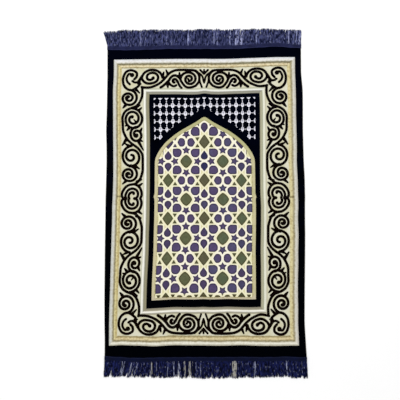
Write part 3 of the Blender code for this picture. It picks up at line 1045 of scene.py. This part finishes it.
FRINGE_TIPS = np.array([
    # x, y of the head's tips, y of the foot's tips
    (-355, 611.5, -619.5), (-285, 617.5, -616.5), (-228, 618.5, -617.5), (-143, 619.5, -618.5),
    (-30, 619.5, -621), (83, 620.5, -620), (168, 621.5, -618), (253, 622.5, -618),
    (310, 619.5, -620), (355, 617.5, -619),
])
HEAD_HABITS = np.array([
    # x, lean at the tips, width of a lock there, share of pale yarns, share left out
    (-355, -19, 0.8, 0.15, 0.2), (-340, -8, 1, 0.22, 0), (-333, -4, 0.6, 0.15, 0.1),
    (-322, -2, 0.75, 0.1, 0.1), (-310, 0, 1.05, 0.05, 0), (-230, 1, 1.1, 0.05, 0),
    (-222, 4, 1, 0.4, 0), (-212, 2, 1.1, 0.06, 0), (-200, 0, 1.1, 0.05, 0), (-193, 1, 1, 0.3, 0),
    (-184, 1, 1.15, 0.05, 0), (-130, 2, 1.15, 0.05, 0), (-124, 5, 1.05, 0.25, 0),
    (-117, 2, 1.15, 0.04, 0), (-80, 0, 1.15, 0.1, 0), (-66, 2, 1, 0.42, 0),
    (-54, 1, 1.15, 0.05, 0), (0, 2, 1.15, 0.05, 0), (7, 4, 1.05, 0.25, 0),
    (14, 2, 1.15, 0.05, 0), (38, 1, 1.1, 0.25, 0), (50, 3, 1.15, 0.05, 0), (98, 6, 1.1, 0.08, 0),
    (110, 8, 1, 0.45, 0), (136, 8, 1, 0.4, 0), (146, 4, 1.15, 0.04, 0), (285, 3, 1.15, 0.03, 0),
    (296, 1, 1, 0.45, 0), (308, 1, 1, 0.4, 0), (316, 4, 1.1, 0.04, 0),
    (335, 7, 0.95, 0.35, 0.05), (352, 1, 0.9, 0.05, 0),
])
FOOT_HABITS = np.array([
    (-350, 0, 0.9, 0.12, 0.05), (-335, -7, 0.8, 0.01, 0), (-305, -9, 0.8, 0.01, 0),
    (-292, -8, 0.85, 0.14, 0), (-278, -9, 0.8, 0.3, 0.05), (-266, -10, 0.8, 0.22, 0.05),
    (-255, -11, 0.75, 0.02, 0.1), (-240, -14, 0.5, 0.1, 0.35), (-212, -14, 0.5, 0.1, 0.35),
    (-205, -7, 0.85, 0.02, 0), (-188, -1, 0.95, 0.02, 0), (-181, 0, 0.85, 0.7, 0),
    (-174, 0, 0.95, 0.03, 0), (-140, -1, 1, 0.12, 0), (-118, 1, 0.9, 0.05, 0),
    (-108, 2, 0.8, 0.26, 0), (-60, 1, 0.75, 0.4, 0.05), (-36, 0, 0.8, 0.45, 0.05),
    (-26, 0, 0.95, 0.04, 0), (48, 0, 0.98, 0.02, 0), (56, 0, 0.95, 0.16, 0),
    (64, 0, 0.98, 0.02, 0), (88, 0, 0.95, 0.02, 0), (95, 0, 0.85, 0.6, 0.05),
    (109, 0, 0.85, 0.6, 0.05), (116, 0, 0.95, 0.04, 0), (160, 1, 0.95, 0.04, 0),
    (167, 2, 0.8, 0.16, 0.1), (176, 1, 0.95, 0.03, 0), (215, 1, 0.95, 0.05, 0),
    (226, 2, 0.85, 0.28, 0.05), (238, 2, 0.95, 0.03, 0), (310, 4, 0.95, 0.03, 0),
    (320, 4, 0.9, 0.14, 0), (352, 3, 0.95, 0.04, 0),
])
LOCKS, YARNS_PER_LOCK = 47, 50
YARN_RADIUS, MATTED = 0.72, 1.4  # the lowest yarns are matted wider
YARN_ROOT = 3.0  # height of the yarns where they come out from under the tape
YARN_SIDES, YARN_POINTS, YARN_LENGTH, TWIST = 4, 8, 70, 2.4
TIP_RADIUS, LAYERS = 0.25, 2.3  # of a yarn's cut end, and the height of the layers of yarns
LOCK_UNEVEN, LOCK_SWAY = 3.2, 4.5  # how far a lock's edges and its tips may be out
STRAY, LOOSE_STRAY, LOOSE_SHARE = 1.6, 8, 0.3  # how far yarns stray, and which are loose
STREAK = 4.2  # pale yarns lie together, in streaks of this width
BARE_FROM = 0.36  # the share of pale yarns over which they are worn quite bare


def tubes(lines, radii, sides):
    """Tubes along many lines of the same number of points: (lines, points, 3) to a mesh."""
    count, length, _ = lines.shape
    turn = np.arange(sides) * 2 * math.pi / sides
    ring = np.column_stack([np.cos(turn), np.zeros(sides), np.sin(turn)])
    points = lines[:, :, None, :] + radii[:, :, None, None] * ring
    start = np.arange(count)[:, None, None] * length * sides
    row = np.arange(length - 1)[None, :, None] * sides
    side = np.arange(sides)[None, None, :]
    after = (side + 1) % sides
    quads = [start + row + side, start + row + after]
    quads += [start + row + sides + after, start + row + sides + side]
    faces = np.stack(np.broadcast_arrays(*quads), -1).reshape(-1, 4)
    return points.reshape(-1, 3), faces


def yarn_shades(tone, lit, pale, bare, dyed):
    """Yarn in bunches from tone to lit, with glints painted in the pale colour, and worn bare of
    dye in places.

    dyed is how much of the dye is left on the pale yarns: about 0.35 to 0.5.
    """

    def shades(shade):
        def grains(across, along):
            """Noise with so many grains in each metre across the fringe and along it."""
            sockets = {0: shade.node("TexCoord", output="Object"), 1: (across, along, 0)}
            return shade.noise(shade.node("VectorMath", {"operation": "MULTIPLY"}, sockets), 1, 1)

        along, tint_and_painted_shade, across = shade.parts(shade.kept("chart"))
        twist = (along * (2 * math.pi / TWIST) + across * 4).sine()
        bunch = grains(190, 60)
        color = (bunch.step(0.35, 0.65) * (0.2 + tint_and_painted_shade * 1.3)).mix(tone, lit)
        # Painted highlights: the glossy yarn's glints, in the pale colour.
        painted_glint = grains(260, 85).step(0.61, 0.69) * tint_and_painted_shade.step(0.15, 0.4)
        color = (painted_glint * 0.5).mix(color, pale)
        worn = tint_and_painted_shade.step(1.05, 1.15).mix(pale, bare)
        dashes = grains(330, 70).step(dyed - 0.07, dyed + 0.07)
        color = (tint_and_painted_shade.step(0.94, 1.0) * dashes).mix(color, worn)
        return color, 0.45 + 0.2 * bunch, shade.bump(twist, 0.0003, 0.7)

    return shades


def make_fringe(name, way, seed, habits, points_per_lock, rounding, darkening, shades):
    """One fringe. The tips of a lock form points, and rounding is how deep they are cut.

    darkening is how much painted shade darkens the other yarns where many of them are pale.
    """
    rng = np.random.RandomState(seed)
    finish = new_finish(name + " yarn", shades, Specular_IOR_Level=0.04, Sheen_Weight=0.01)
    tips = FRINGE_TIPS[:, 1 if way > 0 else 2]
    left, right = eased(way * TAPE_V, SIDES, 1) + 1.5, eased(way * TAPE_V, SIDES, 7) - 1.5
    edges = np.linspace(left, right, LOCKS + 1)
    edges[1:-1] += rng.uniform(-LOCK_UNEVEN, LOCK_UNEVEN, LOCKS - 1)
    streaks = rng.rand(int((right - left) / STREAK) + 3)
    share = np.linspace(0, 1, YARN_POINTS)
    lines, tint_and_painted_shade, widths = [], [], []
    for lock in range(LOCKS):
        low, high = edges[lock], edges[lock + 1]
        middle, half = (low + high) / 2, (high - low) / 2
        inner = 0 < lock < LOCKS - 1
        sway = rng.uniform(-LOCK_SWAY, LOCK_SWAY) if inner else 0
        reach, phase = rng.uniform(-3.0, 2.5), rng.rand()
        count = max(12, round(YARNS_PER_LOCK * 2 * half / ((right - left) / LOCKS)))
        spots = np.linspace(-1, 1, count) + rng.uniform(-0.08, 0.08, count)
        rng.shuffle(spots)
        for rank, spot in enumerate(spots):
            at = middle + spot * half
            lean, width, pale, left_out = [np.interp(at, habits[:, 0], k) for k in habits.T[1:]]
            if rng.rand() < left_out:
                continue
            root = tape_line(at, way) + way * (TAPE_WIDTH - 4)
            loose = LOOSE_STRAY if inner and rng.rand() < LOOSE_SHARE else STRAY
            stray = rng.uniform(-loose, loose)
            narrowed = 1 + 0.08 * np.sin(np.pi * share) + (width - 1) * share**2
            x = middle + spot * half * narrowed + (lean + sway) * share**1.4 + stray * share**2
            x += rng.uniform(0.3, 1.4) * np.sin(share * rng.uniform(3, 9) + rng.uniform(0, 6))
            from_point = 2 * ((spot * points_per_lock / 2 + phase) % 1) - 1
            short = rounding * from_point**2 + rng.exponential(1.3) - 0.9
            tip = np.interp(middle, FRINGE_TIPS[:, 0], tips) + way * (reach - short)
            y = root + (tip - root) * share
            widths.append(YARN_RADIUS * (MATTED if rank < count / 4 else 1))
            layer = widths[-1] + LAYERS * rank / count
            z = layer + (YARN_ROOT - layer) * bell(share, 0.28)
            z += 0.5 * rng.rand() * np.sin(share * np.pi) ** 2
            lines.append(np.column_stack([x, y, z]))
            streak = streaks[int((at - left) / STREAK) + 1]
            if rank > 0.35 * count and streak < pale and rng.rand() < 0.4 + pale:
                tint_and_painted_shade.append(1.2 if pale > BARE_FROM else 1.0)
            else:
                # Painted shade: lower yarns in a lock, and those among many pale ones, get a
                # darker tone.
                lit = (0.35 + 0.65 * rank / count) * (1 - min(pale * darkening, 1))
                tint_and_painted_shade.append(0.9 * rng.rand() * lit)
    lines = np.array(lines)
    radii = np.repeat(np.array(widths)[:, None], YARN_POINTS, axis=1)
    radii[:, -1] = TIP_RADIUS
    points, faces = tubes(lines, radii, YARN_SIDES)
    along = np.tile(np.repeat(share * YARN_LENGTH, YARN_SIDES), len(lines))
    across = points[:, 0] - np.repeat(lines.reshape(-1, 3)[:, 0], YARN_SIDES)
    chart = np.column_stack([along, np.repeat(tint_and_painted_shade, YARN_POINTS * YARN_SIDES), across])
    piece = mesh_piece(name, points, faces, finish, chart)
    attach(piece, "root")
    return piece


head_shades = yarn_shades(*map(srgb, ("0c1232", "5b6193", "aab0d8", "b4b8de")), dyed=0.49)
foot_shades = yarn_shades(*map(srgb, ("00021c", "272f6a", "a8aec8", "b2b0a8")), dyed=0.44)
head_fringe = make_fringe("head_fringe", 1, 21, HEAD_HABITS, 2, 6.5, 0.5, head_shades)
foot_fringe = make_fringe("foot_fringe", -1, 22, FOOT_HABITS, 1, 9.0, 2.5, foot_shades)
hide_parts("fringe_comb_head")
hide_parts("fringe_comb_foot")

# ------------------------------
# The floor, the light and the camera. A plain white floor and a soft even light from all
# round, a little stronger from the upper left, and a view almost straight down.

FLOOR_HALF = 6000.0  # mm


def floor_shades(shade):
    grain = shade.noise(shade.node("TexCoord", output="Object"), 3, 3)
    return grain.mix((0.94, 0.94, 0.94, 1), (0.97, 0.97, 0.97, 1)), 0.8 + 0.1 * grain


def make_floor():
    corners = np.array([(-1, -1, 0), (1, -1, 0), (1, 1, 0), (-1, 1, 0)]) * FLOOR_HALF
    finish = new_finish("white floor", floor_shades, Specular_IOR_Level=0.1)
    mesh_piece("floor", corners, [(0, 1, 2, 3)], finish, corners)


def make_light(name, place, target, size, power):
    data = bpy.data.lights.new(name, "AREA")
    data.shape = "DISK"
    data.size = size
    data.energy = power
    light = bpy.data.objects.new(name, data)
    light.location = place
    light.rotation_euler = (Vector(target) - Vector(place)).to_track_quat("-Z", "Y").to_euler()
    bpy.context.scene.collection.objects.link(light)


make_floor()
make_light("key", (-0.6, 1.5, 2.7), (0, 0, 0), 2.0, 36)
world = bpy.data.worlds.new("studio")
world.use_nodes = True
world.node_tree.nodes["Background"].inputs["Color"].default_value = (1, 1, 1, 1)
world.node_tree.nodes["Background"].inputs["Strength"].default_value = 0.85
bpy.context.scene.world = world
bpy.context.scene.view_settings.view_transform = "Standard"

FIELD_OF_VIEW = math.radians(40)
TILT = math.radians(5.5)
DISTANCE = 1.945
AIM = Vector((-0.0174, -0.0056, 0))

lens = bpy.data.cameras.new("camera")
lens.sensor_width = 36
lens.lens = lens.sensor_width / 2 / math.tan(FIELD_OF_VIEW / 2)
camera = bpy.data.objects.new("camera", lens)
camera.location = AIM + DISTANCE * Vector((0, -math.sin(TILT), math.cos(TILT)))
camera.rotation_euler = (TILT, 0, 0)
bpy.context.scene.collection.objects.link(camera)
bpy.context.scene.camera = camera
